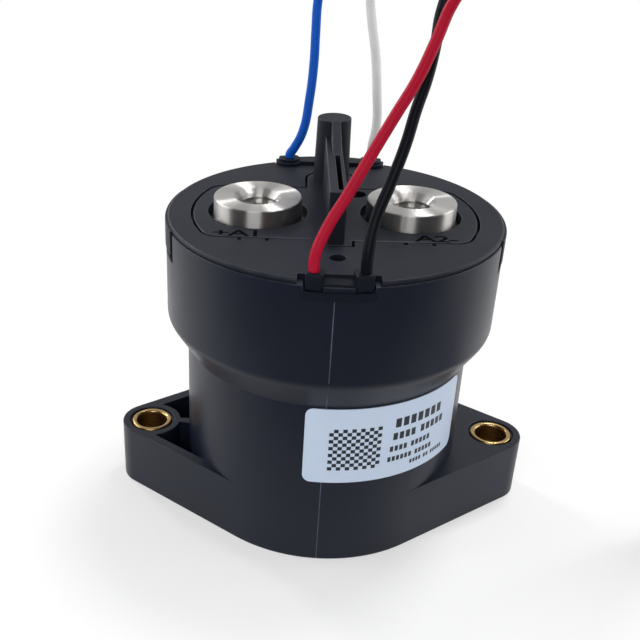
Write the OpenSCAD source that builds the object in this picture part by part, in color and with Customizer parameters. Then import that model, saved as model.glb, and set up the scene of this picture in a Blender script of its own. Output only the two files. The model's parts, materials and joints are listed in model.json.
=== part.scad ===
// High voltage DC contactor with flying leads. A moulded two-ear housing holds a solenoid,
// a sealed arc chamber and an auxiliary switch; a cap and a terminal insulator close it.
// Millimetres, Z up, origin at the middle of the base, the coil leads at the front (-Y).

/* [Mounting base] */
// Distance between the two mounting hole centres
hole_spacing = 75; // [72:0.5:90]
// Rounded end radius of an ear
ear_r = 6.4; // [6:0.1:7.5]
// Height of the ears
ear_h = 13.6; // [9:0.1:18]
// Wall beside the pockets of the left ear
pocket_wall = 2.3; // [1.2:0.1:3]
// Floor under the pockets of the left ear
pocket_floor = 1.6; // [1:0.1:4]
// Rib between the two pockets
pocket_rib = 1.9; // [1:0.1:3]
// Outer radius of a brass limiter
limiter_r = 4.4; // [4:0.05:4.8]
// Bore radius of a brass limiter
limiter_bore_r = 3.3; // [2.6:0.05:3.6]
// Width and depth of the relief round a limiter's top
limiter_relief = 0.5; // [0.2:0.05:0.8]

/* [Housing] */
// Outer radius of the lower body
body_r = 28.9; // [28:0.1:30.5]
// Wall of the lower body
body_wall = 2.6; // [2:0.1:3.2]
// Thickness of the housing floor
floor_t = 2.4; // [1.6:0.1:4]
// Step from the lower body out to the upper cup
cup_step = 4.2; // [3.6:0.1:6]
// Wall of the upper cup
cup_wall = 2.5; // [2:0.1:3]
// Height of the cone between the lower body and the cup
cone_h = 6.6; // [4:0.1:8]
// Radius of the rounded corner where the cone meets the cup
cone_round = 3; // [1:0.1:4]
// Rise of the inner shoulder above the pole plate
shoulder_rise = 5; // [4:0.1:7]

/* [Cap] */
// Thickness of the cap and of the insulator plate
cap_t = 2; // [1.6:0.1:3]
// Height of the cap's edge above the cup rim
cap_edge = 0.9; // [0.5:0.05:1.2]
// Step from the cup's side in to the cap's edge
cap_inset = 0.3; // [0.1:0.05:0.6]
// Width of the cap ring at the ends of its opening
cap_ring = 5.1; // [4.5:0.1:6]
// Gap round the terminal insulator
insert_gap = 0.5; // [0.2:0.05:0.8]
// Chamfer along the cap's outer edge
cap_chamfer = 0.25; // [0.1:0.05:0.5]
// Radius of the small hole at the front
vent_r = 1.5; // [0.8:0.1:1.8]
// Distance of the small hole from the lead boots
vent_inset = 7.3; // [5.6:0.1:9]
// Half angle of a latch arm
latch_angle = 20; // [15:0.5:30]
// Height of a latch arm below the rim
latch_h = 4.7; // [4:0.1:12]
// How far a latch arm stands proud of the cup
latch_proud = 0.15; // [0.1:0.05:0.8]
// Depth of a latch arm in the cup's wall
latch_depth = 1.1; // [0.7:0.05:1.4]
// Gap round a latch arm
latch_gap = 1.1; // [0.2:0.05:1.5]

/* [Terminals] */
// Radius of a terminal's head
terminal_r = 8.7; // [8:0.05:9]
// Height of a terminal's head
head_h = 6.7; // [5:0.1:9]
// Radius of a terminal's stem
stem_r = 5.6; // [5:0.1:6.2]
// Length of a terminal's stem down to its contact face
stem_len = 7; // [5.5:0.1:8]
// Radius of the tapped hole
tapped_r = 3.4; // [3:0.05:3.6]
// Depth of the tapped hole
tapped_depth = 10; // [7:0.1:11]
// Radius of the countersink at the tapped hole's mouth
countersink_r = 4.75; // [4.2:0.05:5.2]

/* [Terminal insulator] */
// Half width of the insulator plate
insert_half = 13.9; // [12.5:0.1:15]
// Corner radius of the insulator plate
insert_corner = 3.5; // [2:0.1:5]
// Radial gap between a terminal and its hole
terminal_gap = 1.1; // [0.5:0.05:1.3]
// Thickness of the barrier wall
barrier_t = 3.2; // [2.6:0.1:4]
// Height of the barrier wall above the cap
barrier_h = 9.9; // [6:0.1:11]
// Distance of the barrier's front face from the middle
barrier_front = 16.1; // [14.5:0.1:17]
// Width of the slot along the barrier's top
slot_w = 0.9; // [0.5:0.05:1.2]
// Depth of the slot
slot_depth = 5; // [2:0.1:8]
// Thickness of the fin on the post
fin_t = 1.9; // [1.5:0.1:2.5]
// Radius of the post at its top
post_r = 3.5; // [3:0.05:3.8]
// Height of the post above the cap
post_h = 13.3; // [11.5:0.1:15]
// Gap between the tube in the post and the arc chamber's wall
tube_gap = 1.8; // [1.3:0.1:2.8]
// Radius of the test hole beside the barrier
test_r = 1.95; // [1:0.05:2.1]

/* [Lead grommets] */
// Distance of a coil lead from the middle
coil_lead_x = 4.4; // [3.6:0.1:6]
// Width of a coil lead boot
boot_w = 3.2; // [2.6:0.1:4]
// Depth of a coil lead boot from the cup's side
boot_depth = 3.5; // [3:0.1:5]
// Height of the boots above the cap
boot_h = 1.3; // [0.6:0.1:2]
// Distance of an auxiliary lead from the middle
aux_lead_x = 9; // [7.5:0.1:10]
// Radius of an auxiliary lead boot
aux_boot_r = 2.9; // [2.4:0.1:3.2]
// Diameter of a lead
lead_d = 2; // [1.6:0.1:2.1]

/* [Label] */
// Height of the rating label
label_h = 16.7; // [10:0.1:20]
// First angle of the label round the body
label_from = -98.7; // [-110:0.1:-80]
// Last angle of the label
label_to = -27; // [-50:0.1:-20]
// Thickness of the label
label_t = 0.15; // [0.1:0.01:0.3]
// Gap between the label's top and the cone
label_drop = 0.4; // [0.1:0.1:4]

/* [Solenoid] */
// Height of the spacer under the yoke
spacer_h = 7; // [6.6:0.1:9]
// Radial wall of the spacer
spacer_wall = 5.6; // [3:0.1:6]
// Gap between the yoke and the housing
yoke_gap = 1.7; // [0.5:0.1:2.5]
// Thickness of the yoke's floor
yoke_floor = 2.5; // [2:0.1:3.5]
// Thickness of the yoke's wall
yoke_wall = 2; // [1.5:0.1:3]
// Height of the bobbin
bobbin_h = 23.1; // [22:0.1:26]
// Thickness of a bobbin flange
flange_t = 1.2; // [0.8:0.1:2]
// Wall of the bobbin's tube
bobbin_wall = 0.9; // [0.6:0.05:1.4]
// Depth of the winding below the bobbin flange's edge
winding_inset = 1.6; // [0.5:0.1:4]
// Thickness of the pole plate
plate_t = 3; // [2:0.1:4]
// Radius of the plunger and of the fixed core
plunger_r = 6.5; // [6:0.05:7.5]
// Height of the plunger
plunger_h = 10; // [8:0.1:10.5]
// Working stroke of the plunger
stroke = 2; // [1.5:0.1:2.4]
// Wall of the plunger's guide sleeve
sleeve_wall = 0.6; // [0.4:0.05:1]
// Thickness of the rubber stop
stop_t = 1.5; // [1:0.1:2.5]
// Radius of the plunger's shaft
shaft_r = 2; // [1.6:0.05:2.2]
// Radius of the shaft's tail pin
tail_r = 1.2; // [0.8:0.05:1.5]
// Depth of the return spring's pocket in the core
pocket_depth = 6; // [5:0.1:7]
// Radius of the return spring's pocket
pocket_r = 3.7; // [3.5:0.05:4.2]
// Wire diameter of the return spring
return_wire = 0.7; // [0.5:0.05:0.8]

/* [Contacts] */
// Height of the arc chamber
chamber_h = 22; // [21:0.1:25]
// Wall of the arc chamber
chamber_wall = 2.2; // [1.5:0.1:2.6]
// Gap between the arc chamber and the housing
chamber_gap = 0.8; // [0.4:0.1:1]
// Thickness of the arc chamber's header
header_t = 3; // [2.4:0.1:4]
// Thickness of the potting over the header
potting_t = 1.7; // [1:0.1:3]
// Open gap between the contacts
contact_gap = 1.4; // [1.2:0.05:1.5]
// Thickness of the contact bridge
bridge_t = 2.5; // [2:0.1:3]
// Width of the contact bridge
bridge_w = 10; // [8:0.1:12]
// Gap between the contact bridge's ends and the arc chamber's wall
bridge_end_gap = 3.3; // [2:0.1:5]
// Thickness of a contact tip
tip_t = 0.5; // [0.3:0.05:0.8]
// Radius of a contact tip
tip_r = 4; // [3:0.1:4.5]
// Free height of the contact spring
contact_spring_h = 6.4; // [5:0.1:7]
// Wire diameter of the contact spring
contact_wire = 0.9; // [0.6:0.05:1]
// Wall of the insulating bush on the shaft
bush_wall = 0.9; // [0.5:0.05:1.2]
// Thickness of the spring seat
seat_t = 1.2; // [0.8:0.1:1.5]
// Thickness of the retaining ring
retainer_t = 1; // [0.6:0.1:1.2]
// Height of the blowout magnets
magnet_h = 12; // [8:0.1:14]
// Half angle of a blowout magnet
magnet_angle = 35; // [20:1:45]
// Thickness of the magnets' keeper ring
keeper_t = 1.7; // [1:0.1:2]
// Outer radius of the evacuation tube
tube_r = 1.5; // [1.2:0.05:1.6]

/* [Control board] */
// Thickness of the board
board_t = 1.6; // [1:0.1:2]
// Radius of a capacitor
capacitor_r = 3; // [2:0.1:4]
// Radius of the choke
choke_r = 4.5; // [3:0.1:5]
// Bore radius of the choke
choke_bore_r = 2; // [1:0.1:2.5]
// Length of the driver chip
chip_l = 8; // [5:0.1:9]
// Width of the driver chip
chip_w = 6; // [4:0.1:7]
// Length of the diode
diode_l = 6; // [4:0.1:7]
// Width of the diode
diode_w = 5; // [3:0.1:6]
// Length of the auxiliary switch
switch_l = 12.8; // [10:0.1:14]
// Width of the auxiliary switch
switch_w = 5.8; // [5:0.1:7]
// Height of the auxiliary switch
switch_h = 4.4; // [3.8:0.1:4.4]
// Radius of the switch's button
button_r = 1; // [0.8:0.05:1.1]
// How far the button stands out while it is held down
button_out = 0.6; // [0.4:0.05:0.6]

/* [Lead coil] */
// Middle of the lead coil on the X axis
coil_x = 91; // [86:0.5:100]
// Middle of the lead coil on the Y axis
coil_y = -26; // [-30:0.5:-20]
// Outer radius of the lead coil
coil_outer_r = 15.2; // [14:0.1:17]
// Inner radius of the lead coil
coil_inner_r = 8; // [7:0.1:10]
// Height of the four coiled layers
coil_h = 8.7; // [8:0.1:9.5]
// Width of the tie
tie_w = 2.4; // [1.5:0.1:4]
// Thickness of the tie
tie_t = 0.5; // [0.3:0.05:0.8]

/* [Hidden] */
$fn = 72;

// Clearances: past a cut face, of a running fit, of pieces set in each other
cut = 1;
run_fit = 0.06;
set_fit = 0.1;
place_fit = 0.2;

// Heights of the stack, from the floor up
spacer_top = floor_t + spacer_h;
coil_bottom = spacer_top + yoke_floor;
plate_bottom = coil_bottom + bobbin_h;
plate_top = plate_bottom + plate_t;
header_top = plate_top + chamber_h;
seat_z = header_top + potting_t;
cap_top = seat_z + cap_t;
rim_z = cap_top - cap_edge;
shoulder_z = plate_top + shoulder_rise;
cone_z = shoulder_z - cone_h;
boot_top = cap_top + boot_h;
magnet_top = shoulder_z + magnet_h;

// Radii from the housing inwards
bore_r = body_r - body_wall;
cup_r = body_r + cup_step;
cup_bore_r = cup_r - cup_wall;
cap_r = cup_r - cap_inset;
insert_r = cap_r - cap_ring;
spacer_r = bore_r - place_fit;
spacer_in_r = spacer_r - spacer_wall;
yoke_r = bore_r - yoke_gap;
yoke_in_r = yoke_r - yoke_wall;
chamber_r = bore_r - chamber_gap;
chamber_in_r = chamber_r - chamber_wall;
keeper_r = cup_bore_r - place_fit;
keeper_in_r = keeper_r - keeper_t;
sleeve_in_r = plunger_r + run_fit;
sleeve_r = sleeve_in_r + sleeve_wall;
bobbin_in_r = sleeve_r + place_fit;
bobbin_tube_r = bobbin_in_r + bobbin_wall;
flange_r = yoke_in_r - place_fit;
neck_r = plunger_r - 1.5;
terminal_x = chamber_in_r - bridge_w / 2 - bridge_end_gap;
post_y = chamber_in_r - tube_r - tube_gap;
bush_r = shaft_r + set_fit / 2 + bush_wall;

// Heights of the moving stack
stop_top = coil_bottom + stop_t;
plunger_top = stop_top + plunger_h;
rest_gap = 0.05;
core_face = plunger_top + stroke + rest_gap;
pocket_top = core_face + pocket_depth;
contact_z = header_top - stem_len;
bridge_top = contact_z - contact_gap - tip_t;
bridge_bottom = bridge_top - bridge_t;
seat_top = bridge_bottom - contact_spring_h;
retainer_top = bridge_top + retainer_t;
shaft_end = 0.9;
board_top = floor_t + board_t;
switch_top = board_top + switch_h;
button_top = switch_top + button_out;
tail_bottom = button_top + rest_gap;

// Tangent of the straight sides between the lower body and an ear
ear_x = hole_spacing / 2;
ear_tangent = acos((body_r - ear_r) / ear_x);
latch_slot = latch_gap / cup_r * 180 / PI;
cone_angle = atan((cup_r - body_r) / cone_h);
insert_corner_y = insert_half - insert_corner;
insert_corner_x = sqrt(pow(insert_r - insert_corner, 2) - pow(insert_corner_y, 2));

// Places on the top that belong to the insulator
tongue_half = 2.8;
tongue_y = barrier_front + 0.5;
rear_tongue_r = post_r + 1.5;
slot_x = 0.3;
slot_back = 5.3;
slot_front_wall = 1.6;
fin_front = 5;
test_hole = [5, 10.9];
relief_x = [12.75, 17.9];
relief_size = [0.8, 1];
barrier_x = -0.2;
post_draft = 0.3;

// Front grommet: the cap's notch and the ledge between the boots
notch_half = coil_lead_x + boot_w / 2 + 1.2;
boot_back = cup_r - boot_depth;
vent_y = boot_back - vent_inset;
boot_round = 0.8;
ledge_top = cap_top - 0.5;
aux_boot_y = cup_bore_r - 0.6;
aux_bar_top = cap_top + 0.8;
aux_bar_front = aux_boot_y - 1.4;

// Routes of the four leads, from the boot to the coil
red_route = [
    [-4.4, -31.3, 65], [-4.4, -31.3, 67.5], [-2.7, -30, 72], [0.6, -28, 77.5], [4, -26, 83.5],
    [7.6, -23.5, 89.5], [11, -21, 95], [13.6, -18.5, 100.5], [16, -16, 106], [19.5, -14, 110.5],
    [25, -12.5, 114], [32, -12, 115.5], [39.5, -12, 114.2], [46, -12, 109.8], [50.5, -12, 102.5],
    [56, -12, 82.5], [72, -12, 20.5], [76.5, -12, 9], [81, -12, 3.2], [86, -12, 1.7],
    [91, -12, 1.7]
];
black_route = [
    [4.4, -31.3, 65], [4.4, -31.3, 67.5], [5.4, -29, 73.5], [7.6, -26.8, 79.3], [9.7, -24.2, 85],
    [11.2, -21.4, 90], [12.8, -18.8, 94.6], [13.9, -16.4, 99.5], [14.7, -13.8, 104.5],
    [17.2, -12.2, 111.2], [23.2, -12, 116], [32, -12, 117.9], [41.1, -12, 116.4],
    [47.6, -12, 112], [52.1, -12, 104.7], [57.6, -12, 84.7], [73.6, -12, 22.7],
    [78.1, -12, 11.2], [82.6, -12, 5.4], [87.6, -12, 3.9], [91, -12, 3.9]
];
white_route = [
    [9, 30, 65], [9, 30, 67], [9.8, 31.3, 72.5], [9.4, 33, 79.5], [8.7, 35.2, 86.5],
    [7.6, 37.2, 92.5], [6.9, 39, 98.5], [7.5, 39.5, 105], [10.5, 37.5, 111], [17, 32, 115.5],
    [25, 22.5, 118.5], [32, 10.5, 120], [38, -1, 119.2], [44, -9, 117.5], [49.2, -12, 114.2],
    [53.7, -12, 106.9], [59.2, -12, 86.9], [75.2, -12, 24.9], [79.7, -12, 13.4],
    [84.2, -12, 7.6], [89.2, -12, 6.1], [91, -12, 6.1]
];
blue_route = [
    [-9, 30, 65], [-8.9, 30, 65.7], [-8.1, 30.1, 66.9], [-6.3, 30.8, 70.5], [-5.1, 32.5, 77.5],
    [-4.5, 34.5, 84.5], [-4.4, 36.5, 90.5], [-4.2, 38.5, 97], [-3, 39, 104], [0.8, 38, 111],
    [8.5, 33, 117], [18, 24, 121], [26.5, 12, 123], [34, 0, 122.5], [44, -9.3, 120.3],
    [50.8, -12, 116.4], [55.3, -12, 109.1], [60.8, -12, 89.1], [76.8, -12, 27.1],
    [81.3, -12, 15.6], [85.8, -12, 9.8], [91, -12, 8.3]
];
tube_sides = 8;

// Swept round wire along a list of points
function unit(v) = v / norm(v);
function tangent(p, i) = unit(p[min(i + 1, len(p) - 1)] - p[max(i - 1, 0)]);
function across(v, t) = unit(v - (v * t) * t);
function normals(p, i, n) =
    i == len(p) ? [] : let (m = across(n, tangent(p, i))) concat([m], normals(p, i + 1, m));
function wire_points(p, r, n) = let (m = normals(p, 0, [1, 0.02, 0.01])) [
    for (i = [0 : len(p) - 1], k = [0 : n - 1])
        let (a = 360 * k / n, b = cross(tangent(p, i), m[i])) p[i] + r * (cos(a) * m[i] + sin(a) * b)
];
function side_faces(rings, n) = [
    for (i = [0 : rings - 2], k = [0 : n - 1])
        let (a = i * n + k, b = i * n + (k + 1) % n)
            each [[a, a + n, b + n], [a, b + n, b]]
];
function end_faces(rings, n) = [
    [for (k = [0 : n - 1]) k],
    [for (k = [n - 1 : -1 : 0]) (rings - 1) * n + k]
];
module wire(p, r, n) {
    polyhedron(
        points = wire_points(p, r, n),
        faces = concat(side_faces(len(p), n), end_faces(len(p), n))
    );
}
module spring(r, z0, z1, wire_d, turns) {
    steps = 14;
    rise = z1 - z0 - wire_d;
    helix = [
        for (i = [0 : turns * steps])
            let (a = 360 * i / steps)
                [r * cos(a), r * sin(a), z0 + wire_d / 2 + rise * i / (turns * steps)]
    ];
    wire(helix, wire_d / 2 * 0.98, 6);
}

// Shapes that repeat
module ring(r, bore, z0, z1) {
    translate([0, 0, z0])
        difference() {
            cylinder(r = r, h = z1 - z0);
            translate([0, 0, -cut]) cylinder(r = bore, h = z1 - z0 + 2 * cut);
        }
}
module sector(r0, r1, z0, z1, from, to) {
    rotate([0, 0, from])
        rotate_extrude(angle = to - from)
            translate([r0, z0]) square([r1 - r0, z1 - z0]);
}
module arcs(r0, r1, z0, z1, half) {
    for (side = [0, 180]) sector(r0, r1, z0, z1, side - half, side + half);
}
module ear_outline(inset) {
    r = body_r - inset;
    e = ear_r - inset;
    c = cos(ear_tangent);
    s = sin(ear_tangent);
    polygon([[r * c, r * s], [ear_x + e * c, e * s], [ear_x + e * c, -e * s], [r * c, -r * s]]);
}
module base_outline() {
    circle(r = body_r);
    for (side = [0, 180])
        rotate(side) {
            ear_outline(0);
            translate([ear_x, 0]) circle(r = ear_r);
        }
}
module pocket_outline() {
    rotate(180)
        difference() {
            ear_outline(pocket_wall);
            circle(r = body_r);
            translate([ear_x, 0]) circle(r = ear_r);
            translate([0, -pocket_rib / 2]) square([ear_x, pocket_rib]);
        }
}
module insert_outline(grow) {
    x = insert_corner_x;
    far = 2 * insert_r;
    half = insert_half + grow;
    turn = atan2(insert_corner_y, x);
    translate([-x, -half]) square([2 * x, 2 * half]);
    intersection() {
        circle(r = insert_r + grow);
        for (side = [0, 180])
            rotate(side)
                polygon([[0, 0], [far, far * tan(turn)], [far, -far * tan(turn)]]);
    }
    for (sx = [-1, 1], sy = [-1, 1])
        translate([sx * x, sy * insert_corner_y]) circle(r = insert_corner + grow);
    translate([-tongue_half - grow, -tongue_y - grow])
        square([2 * (tongue_half + grow), tongue_y + grow]);
    translate([-rear_tongue_r - grow, 0]) square([2 * (rear_tongue_r + grow), post_y]);
    translate([0, post_y]) circle(r = rear_tongue_r + grow);
}
module at_terminals() {
    for (side = [-1, 1]) translate([side * terminal_x, 0, 0]) children();
}
module round_top(w, h, r) {
    translate([-w / 2, 0]) square([w, h - r]);
    translate([-w / 2 + r, 0]) square([w - 2 * r, h]);
    for (side = [-1, 1]) translate([side * (w / 2 - r), h - r]) circle(r = r);
}

// Moulded housing: two-ear base, lower body, cone and cup in one piece
module housing_skin() {
    flare = cone_round * tan(cone_angle / 2);
    rotate_extrude()
        polygon(concat(
            [[0, 0], [body_r, 0], [body_r, cone_z]],
            [
                for (i = [0 : 5])
                    let (a = -cone_angle * (1 - i / 5))
                        [
                            cup_r - cone_round + cone_round * cos(a),
                            shoulder_z + flare + cone_round * sin(a)
                        ]
            ],
            [[cup_r, rim_z], [0, rim_z]]
        ));
}
module housing() {
    color("#24272e")
        difference() {
            union() {
                linear_extrude(ear_h) base_outline();
                housing_skin();
            }
            translate([0, 0, floor_t]) cylinder(r = bore_r, h = rim_z);
            translate([0, 0, shoulder_z]) cylinder(r = cup_bore_r, h = rim_z);
            translate([0, 0, pocket_floor]) linear_extrude(ear_h) pocket_outline();
            for (side = [-1, 1])
                translate([side * ear_x, 0, 0]) {
                    translate([0, 0, -cut]) cylinder(r = limiter_r + set_fit, h = ear_h + 2 * cut);
                    translate([0, 0, ear_h - limiter_relief])
                        cylinder(r = limiter_r + limiter_relief, h = ear_h);
                }
            arcs(
                cup_r - latch_depth - set_fit, cup_r + cut, rim_z - latch_h - latch_gap, rim_z + cut,
                latch_angle + latch_slot
            );
            for (side = [-1, 1])
                translate([side * coil_lead_x - boot_w / 2 - set_fit, -cup_r - cut, seat_z])
                    cube([boot_w + 2 * set_fit, cup_wall + 2 * cut, cap_t]);
        }
}

// Cap: stepped ring with the insulator's opening, lead notches and two latch arms
module cap() {
    color("#3a3c42")
        difference() {
            union() {
                rotate_extrude()
                    polygon([
                        [0, seat_z], [cup_bore_r - set_fit, seat_z], [cup_bore_r - set_fit, rim_z],
                        [cap_r, rim_z], [cap_r, cap_top - cap_chamfer],
                        [cap_r - cap_chamfer, cap_top], [0, cap_top]
                    ]);
                arcs(
                    cup_r - latch_depth, cup_r + latch_proud, rim_z - latch_h,
                    cap_top - cap_edge / 2, latch_angle
                );
            }
            translate([0, 0, seat_z - cut]) linear_extrude(cap_t + 2 * cut) insert_outline(insert_gap);
            for (x = relief_x, sx = [-1, 1], sy = [0, 180])
                rotate([0, 0, sy])
                    translate([sx * x - relief_size.x / 2, -insert_half - insert_gap - relief_size.y,
                               seat_z - cut])
                        cube([relief_size.x, 2 * relief_size.y, cap_t + 2 * cut]);
            translate([0, -vent_y, seat_z - cut]) cylinder(r = vent_r, h = cap_t + 2 * cut);
            translate([-notch_half, -cup_r, seat_z - cut])
                cube([2 * notch_half, cup_r - boot_back + set_fit, cap_t + 2 * cut]);
            translate([-aux_lead_x, aux_bar_front - set_fit, seat_z - cut])
                cube([2 * aux_lead_x, cup_r, cap_t + 2 * cut]);
            for (side = [-1, 1])
                translate([side * aux_lead_x, aux_boot_y, seat_z - cut])
                    cylinder(r = aux_boot_r + set_fit, h = cap_t + 2 * cut);
        }
}

// Terminal insulator: plate, barrier wall, fin and the post over the evacuation tube
module terminal_insulator() {
    color("#303238")
        difference() {
            union() {
                translate([0, 0, seat_z]) linear_extrude(cap_t) insert_outline(0);
                translate([barrier_x - barrier_t / 2, -barrier_front, seat_z])
                    cube([barrier_t, barrier_front + post_y, cap_t + barrier_h]);
                translate([barrier_x - fin_t / 2 + slot_w / 2, 0, 0])
                    rotate([90, 0, 90])
                        linear_extrude(fin_t)
                            polygon([
                                [fin_front, seat_z], [post_y, seat_z], [post_y, cap_top + post_h],
                                [post_y - post_r, cap_top + post_h], [fin_front, cap_top + barrier_h]
                            ]);
                translate([0, post_y, seat_z])
                    cylinder(r1 = post_r + post_draft, r2 = post_r, h = cap_t + post_h);
            }
            at_terminals()
                translate([0, 0, seat_z - cut])
                    cylinder(r = terminal_r + terminal_gap, h = cap_t + 2 * cut);
            translate([test_hole.x, test_hole.y, seat_z - cut])
                cylinder(r = test_r, h = cap_t + 2 * cut);
            translate([slot_x - slot_w / 2, -barrier_front + slot_front_wall,
                       cap_top + barrier_h - slot_depth])
                cube([slot_w, barrier_front - slot_front_wall + slot_back, slot_depth + cut]);
            translate([0, post_y, seat_z - cut])
                cylinder(r = tube_r + place_fit, h = cap_t + post_h - 0.5);
        }
}

// Turned terminals with a tapped hole in the head and the fixed contact at the stem's end
module terminal() {
    head_top = header_top + head_h;
    edge = 0.35;
    sink = countersink_r - tapped_r;
    rotate_extrude()
        polygon([
            [0, contact_z], [stem_r - edge, contact_z], [stem_r, contact_z + edge],
            [stem_r, header_top], [terminal_r, header_top], [terminal_r, head_top - edge],
            [terminal_r - edge, head_top], [countersink_r, head_top], [tapped_r, head_top - sink],
            [tapped_r, head_top - tapped_depth], [0, head_top - tapped_depth - tapped_r / 2]
        ]);
}
module terminal_a1() { color("#c9c8c4") translate([-terminal_x, 0, 0]) terminal(); }
module terminal_a2() { color("#c9c8c4") translate([terminal_x, 0, 0]) terminal(); }

// Brass compression limiters in the ears
module limiter() {
    edge = 0.4;
    rotate_extrude()
        polygon([
            [limiter_bore_r, 0], [limiter_r, 0], [limiter_r, ear_h - edge],
            [limiter_r - edge, ear_h], [limiter_bore_r, ear_h]
        ]);
}
module left_limiter() { color("#b08d4c") translate([-ear_x, 0, 0]) limiter(); }
module right_limiter() { color("#b08d4c") translate([ear_x, 0, 0]) limiter(); }

// Lead grommets in the cap's edge
module coil_lead_grommet() {
    color("#1b1d22")
        intersection() {
            translate([0, 0, seat_z]) cylinder(r = cup_r - 0.05, h = boot_top);
            union() {
                for (side = [-1, 1])
                    translate([side * coil_lead_x, -boot_back, seat_z])
                        rotate([90, 0, 0])
                            linear_extrude(cup_r) round_top(boot_w, boot_top - seat_z, boot_round);
                translate([-coil_lead_x, -cup_r, rim_z])
                    cube([2 * coil_lead_x, cup_r - boot_back, ledge_top - rim_z]);
                translate([-coil_lead_x, -cup_bore_r + set_fit, seat_z])
                    cube([2 * coil_lead_x, cup_bore_r - set_fit - boot_back, ledge_top - seat_z]);
            }
        }
}
module aux_lead_grommet() {
    lip = 0.6;
    color("#1b1d22")
        intersection() {
            union() {
                cylinder(r = cup_bore_r - set_fit, h = boot_top);
                translate([0, 0, rim_z]) cylinder(r = cap_r, h = boot_top);
            }
            union() {
                for (side = [-1, 1])
                    translate([side * aux_lead_x, aux_boot_y, seat_z]) {
                        cylinder(r = aux_boot_r, h = boot_top - lip - seat_z);
                        cylinder(r = aux_boot_r - lip, h = boot_top - seat_z);
                    }
                translate([-aux_lead_x, aux_bar_front, seat_z])
                    cube([2 * aux_lead_x, cup_r - aux_bar_front, aux_bar_top - seat_z]);
            }
        }
}

// Label wrapped on the lower body
module rating_label() {
    top = cone_z - label_drop;
    color("#dfe4ea") sector(body_r, body_r + label_t, top - label_h, top, label_from, label_to);
}

// Potting that seals the header, and the pinched tube through it
module potting() {
    skirt_r = cup_bore_r - set_fit;
    color("#2a2522")
        difference() {
            rotate_extrude()
                polygon([
                    [0, header_top], [chamber_r + set_fit, header_top],
                    [chamber_r + set_fit, magnet_top], [skirt_r, magnet_top], [skirt_r, seat_z],
                    [0, seat_z]
                ]);
            at_terminals()
                translate([0, 0, header_top - cut])
                    cylinder(r = terminal_r + set_fit, h = potting_t + 2 * cut);
            translate([0, post_y, header_top - cut])
                cylinder(r = tube_r + set_fit, h = potting_t + 2 * cut);
        }
}
module evacuation_tube() {
    pinch = 1;
    color("#b87345")
        translate([0, post_y, 0])
            difference() {
                translate([0, 0, header_top - header_t])
                    cylinder(r = tube_r, h = cap_top + post_h - 2 - header_top + header_t);
                translate([0, 0, header_top - header_t - cut])
                    cylinder(r = tube_r - 0.5, h = cap_top + post_h - 2 - pinch - header_top + header_t);
            }
}

// Arc chamber: inverted cup on the pole plate, with the header the terminals pass
module arc_chamber() {
    color("#d8d2c4")
        difference() {
            translate([0, 0, plate_top]) cylinder(r = chamber_r, h = chamber_h);
            translate([0, 0, plate_top - cut]) cylinder(r = chamber_in_r, h = chamber_h - header_t + cut);
            at_terminals()
                translate([0, 0, header_top - header_t - cut])
                    cylinder(r = stem_r + set_fit, h = header_t + 2 * cut);
            translate([0, post_y, header_top - header_t - cut])
                cylinder(r = tube_r + set_fit, h = header_t + 2 * cut);
        }
}
module blowout_magnet(angle) {
    sector(
        chamber_r + 2 * place_fit, keeper_in_r - set_fit, shoulder_z, magnet_top,
        angle - magnet_angle, angle + magnet_angle
    );
}
module front_magnet() { color("#4b4d50") blowout_magnet(-90); }
module rear_magnet() { color("#4b4d50") blowout_magnet(90); }
module magnet_keeper() { color("#8d9094") ring(keeper_r, keeper_in_r, shoulder_z, magnet_top); }

// Magnetic circuit: plate, yoke, core, and the coil on its bobbin
module pole_plate() {
    color("#9a9da1") ring(bore_r - place_fit, neck_r + set_fit, plate_bottom, plate_top);
}
module yoke_cup() {
    color("#9a9da1")
        difference() {
            translate([0, 0, spacer_top]) cylinder(r = yoke_r, h = plate_bottom - spacer_top);
            translate([0, 0, coil_bottom]) cylinder(r = yoke_in_r, h = bobbin_h + cut);
            translate([0, 0, spacer_top - cut]) cylinder(r = 2 * tail_r, h = yoke_floor + 2 * cut);
        }
}
module coil_bobbin() {
    color("#e6e1d3")
        rotate_extrude()
            polygon([
                [bobbin_in_r, coil_bottom], [flange_r, coil_bottom], [flange_r, coil_bottom + flange_t],
                [bobbin_tube_r, coil_bottom + flange_t], [bobbin_tube_r, plate_bottom - flange_t],
                [flange_r, plate_bottom - flange_t], [flange_r, plate_bottom], [bobbin_in_r, plate_bottom]
            ]);
}
module coil_winding() {
    color("#b4692f")
        ring(
            flange_r - winding_inset, bobbin_tube_r + set_fit, coil_bottom + flange_t,
            plate_bottom - flange_t
        );
}
module fixed_core() {
    color("#8d9094")
        rotate_extrude()
            polygon([
                [pocket_r, core_face], [plunger_r, core_face], [plunger_r, plate_bottom],
                [neck_r, plate_bottom], [neck_r, plate_top], [shaft_r + run_fit, plate_top],
                [shaft_r + run_fit, pocket_top], [pocket_r, pocket_top]
            ]);
}
module plunger_sleeve() { color("#c4c6c8") ring(sleeve_r, sleeve_in_r, coil_bottom, plate_bottom); }
module plunger_stop() {
    color("#2b2b2d") ring(plunger_r - place_fit, 2 * tail_r, coil_bottom, stop_top);
}

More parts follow.
